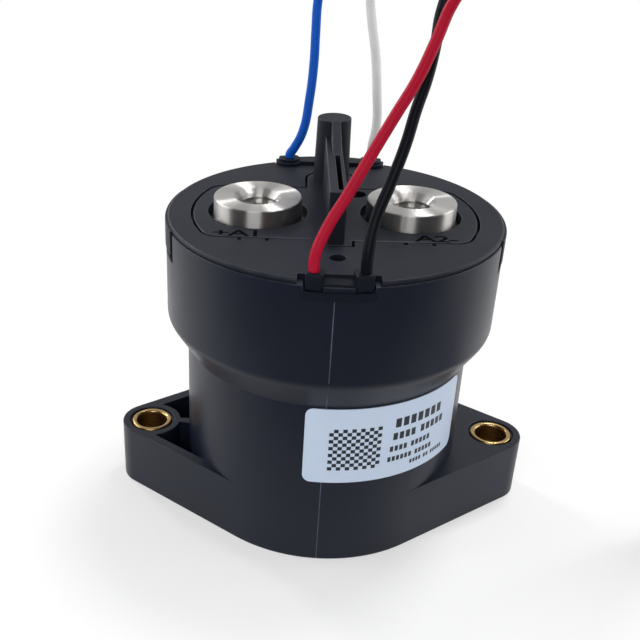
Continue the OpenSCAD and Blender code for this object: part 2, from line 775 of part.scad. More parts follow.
// Base compartment: spacer ring, control board with its parts, auxiliary switch
module base_spacer() { color("#33363c") ring(spacer_r, spacer_in_r, floor_t, spacer_top); }
module control_board() {
    color("#2f6b45") translate([0, 0, floor_t]) cylinder(r = spacer_in_r - place_fit, h = board_t);
}
module board_parts() {
    tall = spacer_h - board_t - 1;
    reach = spacer_in_r * 0.6;
    color("#3c3f45") translate([0, 0, board_top]) {
        for (a = [60, 120]) rotate([0, 0, a]) translate([reach, 0, 0]) cylinder(r = capacitor_r, h = tall);
        rotate([0, 0, 200])
            translate([reach, 0, 0])
                difference() {
                    cylinder(r = choke_r, h = tall * 0.8);
                    translate([0, 0, -cut]) cylinder(r = choke_bore_r, h = tall + 2 * cut);
                }
        rotate([0, 0, 270])
            translate([reach - chip_w / 2, -chip_l / 2, 0]) cube([chip_w, chip_l, tall * 0.4]);
        rotate([0, 0, 340])
            translate([reach - diode_w / 2, -diode_l / 2, 0]) cube([diode_w, diode_l, tall * 0.6]);
    }
}
module aux_switch() {
    well = 2.4;
    color("#4a4c51")
        difference() {
            translate([-switch_l / 2, -switch_w / 2, board_top]) cube([switch_l, switch_w, switch_h]);
            translate([0, 0, switch_top - well]) cylinder(r = button_r + run_fit, h = well + cut);
        }
}
module aux_switch_button() {
    held = 1.8;
    color("#c23b2e") translate([0, 0, switch_top - held]) cylinder(r = button_r, h = held + button_out);
}

// Moving core: plunger, shaft with its tail pin, return spring
module plunger() { color("#8d9094") ring(plunger_r, shaft_r + set_fit / 2, stop_top, plunger_top); }
module plunger_shaft() {
    color("#b9bbbd")
        rotate_extrude()
            polygon([
                [0, tail_bottom], [tail_r, tail_bottom], [tail_r, stop_top], [shaft_r, stop_top],
                [shaft_r, retainer_top + shaft_end], [0, retainer_top + shaft_end]
            ]);
}
module return_spring() {
    color("#a9abad") spring(pocket_r - return_wire / 2 - 0.3, plunger_top, pocket_top, return_wire, 5);
}

// Contact carrier on the shaft: seat, bush, spring, bridge with its tips, retaining ring
module spring_seat() {
    color("#a9abad")
        ring(bush_r + 2.6, shaft_r + set_fit / 2, seat_top - seat_t, seat_top);
}
module shaft_bush() { color("#d9c9a0") ring(bush_r, shaft_r + set_fit / 2, seat_top, bridge_top); }
module contact_spring() {
    color("#a9abad") spring(bush_r + contact_wire + 0.3, seat_top, bridge_bottom, contact_wire, 4);
}
module contact_bridge() {
    end = bridge_w / 2;
    color("#c0763f")
        difference() {
            translate([0, 0, bridge_bottom])
                linear_extrude(bridge_t) {
                    square([2 * terminal_x, bridge_w], center = true);
                    for (side = [-1, 1]) translate([side * terminal_x, 0]) circle(r = end);
                }
            translate([0, 0, bridge_bottom - cut]) cylinder(r = bush_r + run_fit, h = bridge_t + 2 * cut);
        }
}
module contact_tips() {
    color("#d6d8da") at_terminals() translate([0, 0, bridge_top]) cylinder(r = tip_r, h = tip_t);
}
module bridge_retainer() {
    color("#a9abad") ring(bush_r + 1.2, shaft_r + set_fit / 2, bridge_top, retainer_top);
}

// Leads, their coil and its tie
module red_lead() { color("#c4122f") wire(red_route, lead_d / 2, tube_sides); }
module black_lead() { color("#1a1c1f") wire(black_route, lead_d / 2, tube_sides); }
module white_lead() { color("#dcdcdc") wire(white_route, lead_d / 2, tube_sides); }
module blue_lead() { color("#0a4fb3") wire(blue_route, lead_d / 2, tube_sides); }
module lead_coil() {
    color("#6b5a66")
        translate([coil_x, coil_y, 0]) ring(coil_outer_r, coil_inner_r, tie_t, tie_t + coil_h);
}
module coil_tie() {
    slack = 0.15;
    inside = [coil_outer_r - coil_inner_r + 2 * slack, coil_h + slack];
    head = [1.6, 3.4, 3.2];
    color("#e8e8e4")
        translate([coil_x, coil_y, 0])
            rotate([0, 0, -60]) {
                translate([coil_inner_r - slack - tie_t, -tie_w / 2, 0])
                    difference() {
                        cube([inside.x + 2 * tie_t, tie_w, inside.y + 2 * tie_t]);
                        translate([tie_t, -cut, tie_t]) cube([inside.x, tie_w + 2 * cut, inside.y]);
                    }
                translate([coil_outer_r + slack + tie_t, -head.y / 2, coil_h / 2]) cube(head);
            }
}

housing();
cap();
terminal_insulator();
terminal_a1();
terminal_a2();
left_limiter();
right_limiter();
coil_lead_grommet();
aux_lead_grommet();
rating_label();
potting();
evacuation_tube();
arc_chamber();
front_magnet();
rear_magnet();
magnet_keeper();
pole_plate();
yoke_cup();
coil_bobbin();
coil_winding();
fixed_core();
plunger_sleeve();
plunger_stop();
base_spacer();
control_board();
board_parts();
aux_switch();
aux_switch_button();
plunger();
plunger_shaft();
return_spring();
spring_seat();
shaft_bush();
contact_spring();
contact_bridge();
contact_tips();
bridge_retainer();
red_lead();
black_lead();
white_lead();
blue_lead();
lead_coil();
coil_tie();
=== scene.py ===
"""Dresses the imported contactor: its leads at full length, turned terminals, label, finishes and stage."""
import json
import math

import bmesh
import bpy
from mathutils import Matrix, Vector


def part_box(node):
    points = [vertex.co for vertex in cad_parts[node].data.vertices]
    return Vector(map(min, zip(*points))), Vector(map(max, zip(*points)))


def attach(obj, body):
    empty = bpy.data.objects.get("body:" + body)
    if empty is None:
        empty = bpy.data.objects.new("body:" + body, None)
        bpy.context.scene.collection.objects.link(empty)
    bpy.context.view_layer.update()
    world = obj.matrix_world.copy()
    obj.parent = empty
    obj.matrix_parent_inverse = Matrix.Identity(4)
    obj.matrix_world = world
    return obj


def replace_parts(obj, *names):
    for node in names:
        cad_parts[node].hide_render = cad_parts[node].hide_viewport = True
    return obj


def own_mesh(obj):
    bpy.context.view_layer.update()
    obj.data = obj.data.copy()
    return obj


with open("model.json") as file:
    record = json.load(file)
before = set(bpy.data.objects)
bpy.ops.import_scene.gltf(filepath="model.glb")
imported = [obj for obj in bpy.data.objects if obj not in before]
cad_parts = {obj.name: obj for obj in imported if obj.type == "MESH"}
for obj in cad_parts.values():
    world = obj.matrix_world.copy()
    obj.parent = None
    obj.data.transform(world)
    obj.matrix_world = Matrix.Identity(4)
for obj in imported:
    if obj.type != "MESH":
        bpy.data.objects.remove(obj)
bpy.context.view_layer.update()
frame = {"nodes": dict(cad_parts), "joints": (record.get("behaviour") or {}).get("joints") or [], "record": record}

bl_info = {
    "name": "High voltage DC contactor",
    "version": (1, 0, 0),
    "blender": (4, 5, 0),
    "location": "View3D > Sidebar > Contactor",
    "description": "Gives the packed contactor its leads, turned terminals, label, finishes and stage",
    "category": "Object",
}

MM = 0.001
NODES = frame["nodes"]
NODE_SLOTS = {part["node"]: part["material_slot"] for part in frame["record"]["subparts"]}
TRAVEL = {joint["name"]: max(abs(end) for end in joint["range_m"]) for joint in frame["joints"]}

# Heights and radii of the solids that pieces are fitted to
INSERT_THICK = 2 * MM
CAP_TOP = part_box("terminal_insulator")[0].z + INSERT_THICK
CUP_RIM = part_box("housing")[1].z
CUP_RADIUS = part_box("housing")[1].y
BODY_RADIUS = 28.9 * MM
CONE_LOW = 36.4 * MM
CONE_HIGH = 43 * MM

# The photograph's frame is square; its camera stands in front of the object and above it
FRAME_PIXELS = 640
CAMERA_FOCAL_PIXELS = 991.1
CAMERA_AZIMUTH = math.radians(3.423)
CAMERA_ELEVATION = math.radians(29.871)
CAMERA_ROLL = math.radians(0.495)
CAMERA_DISTANCE = 214.55 * MM
CAMERA_TARGET = Vector((-21.41, 0, 27.35)) * MM
CAMERA_SHIFT = (0.15, 0.075)
SENSOR_WIDTH = 36.0

# The stage: a gloss finds the photographer's side of the floor and of the surroundings dark
FLOOR_HALF = 3.0
FLOOR_DROP = 0.1 * MM
PAPER_COLOUR = (0.94, 0.94, 0.945)
DARK_SIDE = (0.05, 0.05, 0.06)
FLOOR_FADE = ((0.05, 0.42), (0.16, 1.0))
FRONT_PER_METRE = -5.0
FRONT_FADE = ((0.12, 0.0), (0.45, 1.0))
SKY_FADE = ((0.3, 0.1), (0.55, 0.68))
AMBIENT = 0.45

# Softboxes that face one point: name, place and side in millimetres, power in watts
LIGHT_AIM = Vector((0, 0, 40)) * MM
SOFTBOXES = (
    ("Overhead softbox", (150, 170, 600), 150, 1.5),
    ("Left softbox", (-620, 40, 260), 420, 1.3),
    ("Right softbox", (620, 120, 240), 420, 1.2),
    ("Front softbox", (-100, -600, 380), 400, 1.45),
    ("Rear softbox", (-400, 420, 420), 100, 1.0),
)

# Fineness of copies and patches
JOIN_DISTANCE = 0.001 * MM
SPECK_SIZE = 0.01 * MM
FLAT_ANGLE = math.radians(0.05)
SHARP_ANGLE = math.radians(32)
PATCH_FACET = 1.2 * MM
CORNER_STEPS = 8

# Routes of the four leads from the boot to the coil, in millimetres as in the part's source
LEAD_ROUTES = {
    "red_lead": [
        (-4.4, -31.3, 65), (-4.4, -31.3, 67.5), (-2.7, -30, 72), (0.6, -28, 77.5), (4, -26, 83.5),
        (7.6, -23.5, 89.5), (11, -21, 95), (13.6, -18.5, 100.5), (16, -16, 106), (19.5, -14, 110.5),
        (25, -12.5, 114), (32, -12, 115.5), (39.5, -12, 114.2), (46, -12, 109.8), (50.5, -12, 102.5),
        (56, -12, 82.5), (72, -12, 20.5), (76.5, -12, 9), (81, -12, 3.2), (86, -12, 1.7),
        (91, -12, 1.7),
    ],
    "black_lead": [
        (4.4, -31.3, 65), (4.4, -31.3, 67.5), (5.4, -29, 73.5), (7.6, -26.8, 79.3), (9.7, -24.2, 85),
        (11.2, -21.4, 90), (12.8, -18.8, 94.6), (13.9, -16.4, 99.5), (14.7, -13.8, 104.5),
        (17.2, -12.2, 111.2), (23.2, -12, 116), (32, -12, 117.9), (41.1, -12, 116.4),
        (47.6, -12, 112), (52.1, -12, 104.7), (57.6, -12, 84.7), (73.6, -12, 22.7),
        (78.1, -12, 11.2), (82.6, -12, 5.4), (87.6, -12, 3.9), (91, -12, 3.9),
    ],
    "white_lead": [
        (9, 30, 65), (9, 30, 67), (9.8, 31.3, 72.5), (9.4, 33, 79.5), (8.7, 35.2, 86.5),
        (7.6, 37.2, 92.5), (6.9, 39, 98.5), (7.5, 39.5, 105), (10.5, 37.5, 111), (17, 32, 115.5),
        (25, 22.5, 118.5), (32, 10.5, 120), (38, -1, 119.2), (44, -9, 117.5), (49.2, -12, 114.2),
        (53.7, -12, 106.9), (59.2, -12, 86.9), (75.2, -12, 24.9), (79.7, -12, 13.4),
        (84.2, -12, 7.6), (89.2, -12, 6.1), (91, -12, 6.1),
    ],
    "blue_lead": [
        (-9, 30, 65), (-8.9, 30, 65.7), (-8.1, 30.1, 66.9), (-6.3, 30.8, 70.5), (-5.1, 32.5, 77.5),
        (-4.5, 34.5, 84.5), (-4.4, 36.5, 90.5), (-4.2, 38.5, 97), (-3, 39, 104), (0.8, 38, 111),
        (8.5, 33, 117), (18, 24, 121), (26.5, 12, 123), (34, 0, 122.5), (44, -9.3, 120.3),
        (50.8, -12, 116.4), (55.3, -12, 109.1), (60.8, -12, 89.1), (76.8, -12, 27.1),
        (81.3, -12, 15.6), (85.8, -12, 9.8), (91, -12, 8.3),
    ],
}
COIL_CENTRE = Vector((91, -26, 0)) * MM
COIL_START_ANGLE = math.radians(90)
COIL_STEP = math.radians(20)
TIE_ANGLE = math.radians(-60)


def linear(code):
    """Scene-linear colour of a hexadecimal screen colour."""
    shares = [int(code[i:i + 2], 16) / 255 for i in (1, 3, 5)]
    return tuple(s / 12.92 if s <= 0.04045 else ((s + 0.055) / 1.055) ** 2.4 for s in shares)


def size(name, text, default):
    """A length in metres that a user may change."""
    return bpy.props.FloatProperty(
        name=name, description=text, default=default, min=0.0, subtype="DISTANCE", unit="LENGTH"
    )


def colour(name, text, code):
    """A colour that a user may change."""
    return bpy.props.FloatVectorProperty(
        name=name, description=text, default=linear(code), size=3, min=0.0, max=1.0, subtype="COLOR"
    )


class ContactorSizes(bpy.types.PropertyGroup):
    """Sizes of the pieces that are made here"""

    lead_length: size("Lead length", "From a lead's boot to the end of its insulation", 390 * MM)
    lead_diameter: size("Lead diameter", "Outside diameter of a lead", 2 * MM)
    coil_pitch: size("Coil pitch", "Distance between two turns of the lead coil", 2.08 * MM)
    strip_length: size("Stripped length", "Bare conductor at a lead's end", 6 * MM)
    conductor_diameter: size("Conductor diameter", "Diameter of the bare conductor", 1.1 * MM)
    label_corner: size("Label corner", "Corner radius of the label", 1.6 * MM)
    thread_pitch: size("Thread pitch", "Pitch of the terminals' tapped thread", 1.25 * MM)
    thread_depth: size("Thread depth", "Depth of the terminals' tapped thread", 0.4 * MM)
    edge_round: size("Edge rounding", "Rounding of the moulded edges", 0.2 * MM)
    parting_width: size("Parting line", "Width of the mould's parting line", 0.2 * MM)
    mark_height: size("Mark height", "Height of the polarity marks", 2.9 * MM)


class ContactorColours(bpy.types.PropertyGroup):
    """Colours of the finishes"""

    housing: colour("Housing", "Satin moulding of the housing", "#161b28")
    cap: colour("Cap", "Fine grained moulding of the cap and insulator", "#1d2029")
    rubber: colour("Grommets", "Rubber of the lead grommets", "#121722")
    # The marks' near-black is painted shade: it stands in for the shade inside the sunk strokes.
    mark: colour("Marks", "Sunk polarity marks", "#050608")
    nickel: colour("Terminals", "Plating of the terminals", "#d0cecb")
    brass: colour("Limiters", "Brass of the compression limiters", "#b89b6a")
    film: colour("Label film", "Film of the label", "#becde1")
    ink: colour("Label ink", "Print on the label", "#1c212b")
    red_lead: colour("Red lead", "Insulation of the first coil lead", "#a30b2a")
    black_lead: colour("Black lead", "Insulation of the second coil lead", "#0b0e15")
    white_lead: colour("White lead", "Insulation of an auxiliary lead", "#d4d4d3")
    blue_lead: colour("Blue lead", "Insulation of an auxiliary lead", "#0050b4")
    tie: colour("Tie", "Nylon of the coil's tie", "#e3e4df")


class Value:
    """An output socket; arithmetic on it adds Math nodes to its tree."""

    def __init__(self, tree, socket):
        self.tree = tree
        self.socket = socket

    def math(self, operation, first, second):
        """The result of one Math node."""
        return self.tree.node("ShaderNodeMath", {"operation": operation}, {0: first, 1: second})

    def __add__(self, other):
        return self.math("ADD", self, other)

    def __radd__(self, other):
        return self.math("ADD", other, self)

    def __sub__(self, other):
        return self.math("SUBTRACT", self, other)

    def __rsub__(self, other):
        return self.math("SUBTRACT", other, self)

    def __mul__(self, other):
        return self.math("MULTIPLY", self, other)

    def __rmul__(self, other):
        return self.math("MULTIPLY", other, self)


class Tree:
    """The node tree of a material or a world, filled one node at a time."""

    def __init__(self, owner, output):
        owner.use_nodes = True
        self.nodes = owner.node_tree.nodes
        self.links = owner.node_tree.links
        self.nodes.clear()
        self.output = self.nodes.new(output)

    def node(self, kind, settings=None, inputs=None, output=0):
        """Adds a node, with its settings and with values or links for its sockets."""
        made = self.nodes.new(kind)
        for key, value in (settings or {}).items():
            if key == "stops":
                self.set_stops(made.color_ramp, value)
            else:
                setattr(made, key, value)
        for key, value in (inputs or {}).items():
            self.feed(made.inputs[key], value)
        return Value(self, made.outputs[output])

    def set_stops(self, ramp, stops):
        """Gives a ramp its places and grey levels."""
        while len(ramp.elements) < len(stops):
            ramp.elements.new(1.0)
        for element, (place, shade) in zip(ramp.elements, stops):
            element.position = place
            element.color = (shade, shade, shade, 1.0)

    def feed(self, socket, value):
        """Links a socket, or sets its constant."""
        if isinstance(value, Value):
            self.links.new(value.socket, socket)
        elif socket.type == "RGBA":
            socket.default_value = (*value, 1.0)
        else:
            socket.default_value = value

    def place(self):
        """Coordinates on the object."""
        return self.node("ShaderNodeTexCoord", output="Object")

    def noise(self, scale, detail=2.0):
        """Even noise in space."""
        inputs = {"Vector": self.place(), "Scale": scale, "Detail": detail}
        return self.node("ShaderNodeTexNoise", {}, inputs)

    def ramp(self, value, *stops):
        """A value sent through grey stops."""
        return self.node("ShaderNodeValToRGB", {"stops": stops}, {0: value})

    def blend(self, share, first, second):
        """A mix of two colours."""
        inputs = {0: share, 6: first, 7: second}
        return self.node("ShaderNodeMix", {"data_type": "RGBA"}, inputs, output=2)

    def bump(self, height, depth):
        """A normal raised by a height, to a depth in metres."""
        return self.node("ShaderNodeBump", {}, {"Height": height, "Distance": depth})

    def principled(self, **sockets):
        """A surface shader; an underscore stands for a space in a socket's name."""
        inputs = {key.replace("_", " "): value for key, value in sockets.items()}
        return self.node("ShaderNodeBsdfPrincipled", {}, inputs)

    def finish(self, value):
        """Sends a shader to the tree's output."""
        self.links.new(value.socket, self.output.inputs["Surface"])


def new_finish(name):
    """An empty material and its tree."""
    material = bpy.data.materials.new(name)
    return material, Tree(material, "ShaderNodeOutputMaterial")


def tinted(tone, factor):
    """A colour made darker or paler by one factor."""
    return tuple(min(1.0, channel * factor) for channel in tone)


def moulded(name, tone, roughness, gloss=0.35, grain_depth=0.006 * MM):
    """Moulded plastic: faint flow marks, handling smudges and a fine eroded grain."""
    material, tree = new_finish(name)
    flow = tree.noise(scale=60.0, detail=4.0)
    smudge = tree.ramp(tree.noise(scale=42.0, detail=5.0), (0.4, 0.0), (0.72, 1.0))
    grain = tree.noise(scale=5200.0)
    tree.finish(tree.principled(
        Base_Color=tree.blend(flow, tinted(tone, 0.8), tinted(tone, 1.22)),
        Roughness=roughness + 0.09 * smudge + 0.06 * grain,
        Specular_IOR_Level=gloss,
        Normal=tree.bump(grain, grain_depth),
    ))
    return material


def worn_and_highlit_edge(name, tone, roughness):
    """The same plastic along an edge, paler in places: partly rubbed wear, partly a painted highlight along the
    edge.
    """
    material, tree = new_finish(name)
    # Paler patches along the edge: partly rubbed wear, partly a painted highlight.
    rub_and_highlight = tree.ramp(tree.noise(scale=420.0, detail=4.0), (0.38, 0.0), (0.68, 1.0))
    tree.finish(tree.principled(
        Base_Color=tree.blend(rub_and_highlight, tone, tinted(tone, 1.8)),
        Roughness=roughness + 0.12 * rub_and_highlight,
        Specular_IOR_Level=0.25,
    ))
    return material


def turned_metal(name, tone, roughness, streak):
    """Lathe-turned metal: marks that follow the radius on a face and the height on a side."""
    material, tree = new_finish(name)
    flat = tree.node("ShaderNodeVectorMath", {"operation": "MULTIPLY"}, {0: tree.place(), 1: (1, 1, 0)})
    reach = tree.node("ShaderNodeVectorMath", {"operation": "LENGTH"}, {0: flat}, output="Value")
    height = tree.node("ShaderNodeSeparateXYZ", {}, {0: tree.place()}, output="Z")
    lathe = {"W": reach + height, "Scale": 5200.0, "Detail": 3.0}
    marks = tree.node("ShaderNodeTexNoise", {"noise_dimensions": "1D"}, lathe)
    haze = tree.noise(scale=320.0, detail=4.0)
    tree.finish(tree.principled(
        Base_Color=tree.blend(haze, tinted(tone, 0.86), tone),
        Metallic=1.0,
        Roughness=roughness + 0.08 * marks + 0.06 * haze,
        Anisotropic=streak,
        Anisotropic_Rotation=0.25,
        Normal=tree.bump(marks, depth=0.004 * MM),
    ))
    return material


def plain_metal(name, tone, roughness):
    """Drawn or pressed metal with a soft cloud of tarnish."""
    material, tree = new_finish(name)
    tarnish = tree.noise(scale=240.0, detail=5.0)
    tree.finish(tree.principled(
        Base_Color=tree.blend(tarnish, tinted(tone, 0.7), tone),
        Metallic=1.0,
        Roughness=roughness + 0.14 * tarnish,
        Normal=tree.bump(tree.noise(scale=3000.0), depth=0.003 * MM),
    ))
    return material


def insulation(name, tone):
    """Extruded lead insulation with a soft sheen and faint ripples."""
    material, tree = new_finish(name)
    cloud = tree.noise(scale=160.0, detail=3.0)
    ripple = tree.noise(scale=750.0, detail=3.0)
    tree.finish(tree.principled(
        Base_Color=tree.blend(cloud, tinted(tone, 0.88), tinted(tone, 1.08)),
        Roughness=0.34 + 0.14 * ripple,
        Specular_IOR_Level=0.12,
        Normal=tree.bump(ripple, depth=0.02 * MM),
    ))
    return material


def label_film(name, tone):
    """Smooth printed film with a slight mottle."""
    material, tree = new_finish(name)
    mottle = tree.noise(scale=500.0, detail=3.0)
    tree.finish(tree.principled(
        Base_Color=tree.blend(mottle, tinted(tone, 0.95), tone),
        Roughness=0.36 + 0.1 * mottle,
        Specular_IOR_Level=0.4,
        Normal=tree.bump(tree.noise(scale=1800.0), depth=0.002 * MM),
    ))
    return material


def inner_finishes():
    """Finishes of the sealed pieces, by the record's slot."""
    resin = moulded("Potting resin", linear("#181615"), roughness=0.3, gloss=0.5, grain_depth=0.002 * MM)
    ceramic = moulded("Ceramic", linear("#dcd6c8"), roughness=0.5, gloss=0.5, grain_depth=0.004 * MM)
    return {
        "potting_resin": resin,
        "copper": plain_metal("Copper", linear("#c8794a"), roughness=0.28),
        "ceramic": ceramic,
        "magnet": plain_metal("Magnet", linear("#6f7276"), roughness=0.4),
        "soft_iron": plain_metal("Soft iron", linear("#a5a8ac"), roughness=0.34),
        "bobbin_plastic": moulded("Bobbin plastic", linear("#e4decd"), roughness=0.45),
        "steel": plain_metal("Spring steel", linear("#bcbec1"), roughness=0.24),
        "inner_plastic": moulded("Inner plastic", linear("#3a3d43"), roughness=0.42),
        "board_green": moulded("Board laminate", linear("#2c6a44"), roughness=0.38),
        "button_red": moulded("Switch button", linear("#c03a2d"), roughness=0.4),
        "silver": plain_metal("Silver contact", linear("#dfe0e0"), roughness=0.22),
        "grommet_rubber": moulded("Rubber stop", linear("#1d1e20"), roughness=0.6),
    }


def new_piece(name, data, materials, at=(0, 0, 0)):
    """Links a piece with its finishes and lets it ride on the fixed body."""
    piece = bpy.data.objects.new(name, data)
    bpy.context.scene.collection.objects.link(piece)
    piece.location = at
    for material in materials:
        data.materials.append(material)
    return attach(piece, "root")


def meshed(shape, name, sharp=30):
    """A smooth-shaded mesh of the shape, with its edges kept above an angle in degrees."""
    mesh = bpy.data.meshes.new(name)
    shape.to_mesh(mesh)
    shape.free()
    if "custom_normal" in mesh.attributes:
        mesh.attributes.remove(mesh.attributes["custom_normal"])
    mesh.shade_smooth()
    mesh.set_sharp_from_angle(angle=math.radians(sharp))
    return mesh


def skinned(name, rings, joined=False):
    """A mesh through rings of equally many points; its ends are capped, or joined to each other."""
    shape = bmesh.new()
    rows = [[shape.verts.new(point) for point in ring] for ring in rings]
    pairs = list(zip(rows, rows[1:]))
    if joined:
        pairs.append((rows[-1], rows[0]))
    else:
        shape.faces.new(rows[0])
        shape.faces.new(rows[-1])
    for low, high in pairs:
        for k, after in zip(range(len(low)), [*range(1, len(low)), 0]):
            shape.faces.new((low[k], low[after], high[after], high[k]))
    bmesh.ops.recalc_face_normals(shape, faces=shape.faces)
    return meshed(shape, name)


def circle(radius, height, sides):
    """A ring of points; the radius may be a function of the angle."""
    points = []
    for k in range(sides):
        angle = 2 * math.pi * k / sides
        reach = radius(angle) if callable(radius) else radius
        points.append(Vector((reach * math.cos(angle), reach * math.sin(angle), height)))
    return points


def quarter(centre, radius, start, steps=5):
    """Points of a quarter circle in a profile, anticlockwise from an angle in degrees."""
    turns = [math.radians(start + 90 * i / steps) for i in range(steps + 1)]
    return [(centre[0] + radius * math.cos(a), centre[1] + radius * math.sin(a)) for a in turns]


def on_body(radius, angle, height):
    """A point on a round wall; angle 0 is the front and grows to the right."""
    return Vector((radius * math.sin(angle), -radius * math.cos(angle), height))


def add_patch(shape, radius, thick, angles, heights, corner=0.0):
    """Adds a thin patch wrapped on a round wall, with rounded corners."""
    first, last = angles
    low, high = heights
    length = radius * (last - first)
    bends = [math.radians(90 * i / CORNER_STEPS) for i in range(CORNER_STEPS + 1)] if corner else [0.0]
    ends = [(corner * (1 - math.cos(b)), corner * (1 - math.sin(b))) for b in bends]
    count = max(2, round(length / PATCH_FACET))
    inner = [(ends[-1][0] + (length - 2 * ends[-1][0]) * i / count, 0.0) for i in range(1, count)]
    columns = ends + inner + [(length - along, inset) for along, inset in reversed(ends)]
    rows = []
    for along, inset in columns:
        angle = first + along / radius
        corners = [(radius, low), (radius, high), (radius + thick, high), (radius + thick, low)]
        lift = [inset, -inset, -inset, inset]
        rows.append([
            shape.verts.new(on_body(r, angle, z + d)) for (r, z), d in zip(corners, lift)
        ])
    for left, right in zip(rows, rows[1:]):
        for k, after in ((0, 1), (1, 2), (2, 3), (3, 0)):
            shape.faces.new((left[k], left[after], right[after], right[k]))
    shape.faces.new(rows[0])
    shape.faces.new(rows[-1])


def patches(name, radius, thick, rectangles, corner=0.0):
    """One mesh of patches given as (angles, heights)."""
    shape = bmesh.new()
    for angles, heights in rectangles:
        add_patch(shape, radius, thick, angles, heights, corner)
    bmesh.ops.recalc_face_normals(shape, faces=shape.faces)
    return meshed(shape, name)


def add_block(shape, low, high, rounding, turn=0.0):
    """Adds a box with rounded edges, turned about the part's upright axis."""
    corners = bmesh.ops.create_cube(shape, size=1.0)["verts"]
    fit = Matrix.LocRotScale((low + high) / 2, None, high - low)
    bmesh.ops.transform(shape, matrix=Matrix.Rotation(turn, 4, "Z") @ fit, verts=corners)
    edges = list(dict.fromkeys(edge for corner in corners for edge in corner.link_edges))
    bmesh.ops.bevel(shape, geom=edges, offset=rounding, segments=4, profile=0.5, affect="EDGES")


def smooth_curve(name, points, diameter):
    """A round curve on one open spline through the points."""
    curve = bpy.data.curves.new(name, "CURVE")
    curve.dimensions = "3D"
    spline = curve.splines.new("BEZIER")
    spline.bezier_points.add(len(points) - 1)
    for knot, point in zip(spline.bezier_points, points):
        knot.co = point
        knot.handle_left_type = "AUTO"
        knot.handle_right_type = "AUTO"
    spline.resolution_u = 8
    curve.bevel_depth = diameter / 2
    curve.bevel_resolution = 5
    curve.use_fill_caps = True
    return curve


def coil_point(turn, start, pitch):
    """A point of the flat coil after a turn in radians; it winds clockwise and inwards."""
    reach = (start.xy - COIL_CENTRE.xy).length - pitch * turn / (2 * math.pi)
    angle = COIL_START_ANGLE - turn
    return Vector((
        COIL_CENTRE.x + reach * math.cos(angle), COIL_CENTRE.y + reach * math.sin(angle), start.z
    ))


def coil_points(start, length, pitch, turn=0.0):
    """Points of the coil from a turn on, until its length is used up."""
    points = [coil_point(turn, start, pitch)]
    used = 0.0
    while used < length:
        turn += COIL_STEP
        point = coil_point(turn, start, pitch)
        step = (point - points[-1]).length
        if used + step > length:
            turn -= COIL_STEP * (1 - (length - used) / step)
            point = coil_point(turn, start, pitch)
            step = length - used
            used = length
        points.append(point)
        used += step
    return points, turn


def solid_shape(node):
    """An editable copy of a solid, where it stands at rest, with its points joined."""
    shape = bmesh.new()
    shape.from_mesh(NODES[node].data)
    shape.transform(NODES[node].matrix_world)
    bmesh.ops.remove_doubles(shape, verts=shape.verts, dist=JOIN_DISTANCE)
    return shape


def rounded_copy(node, name, finish, edge, width, joined_flats=True):
    """A copy of a solid whose sharp outer edges are rounded and take the paler edge finish, partly wear and partly
    a painted highlight; it stands for the solid.
    """
    shape = solid_shape(node)
    bmesh.ops.dissolve_degenerate(shape, dist=SPECK_SIZE, edges=shape.edges)
    if joined_flats:
        bmesh.ops.dissolve_limit(shape, angle_limit=FLAT_ANGLE, verts=shape.verts, edges=shape.edges)
    weight = shape.edges.layers.float.new("bevel_weight_edge")
    for line in shape.edges:
        if line.is_convex and line.calc_face_angle(0.0) > SHARP_ANGLE:
            line[weight] = 1.0
    piece = new_piece(name, meshed(shape, name), [finish, edge])
    rounding = piece.modifiers.new("Edge rounding", "BEVEL")
    rounding.width = width
    rounding.segments = 2
    rounding.limit_method = "WEIGHT"
    rounding.use_clamp_overlap = False
    rounding.harden_normals = True
    # The rounded faces take the paler edge finish: partly wear, partly a painted highlight.
    rounding.material = 1
    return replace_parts(piece, node)


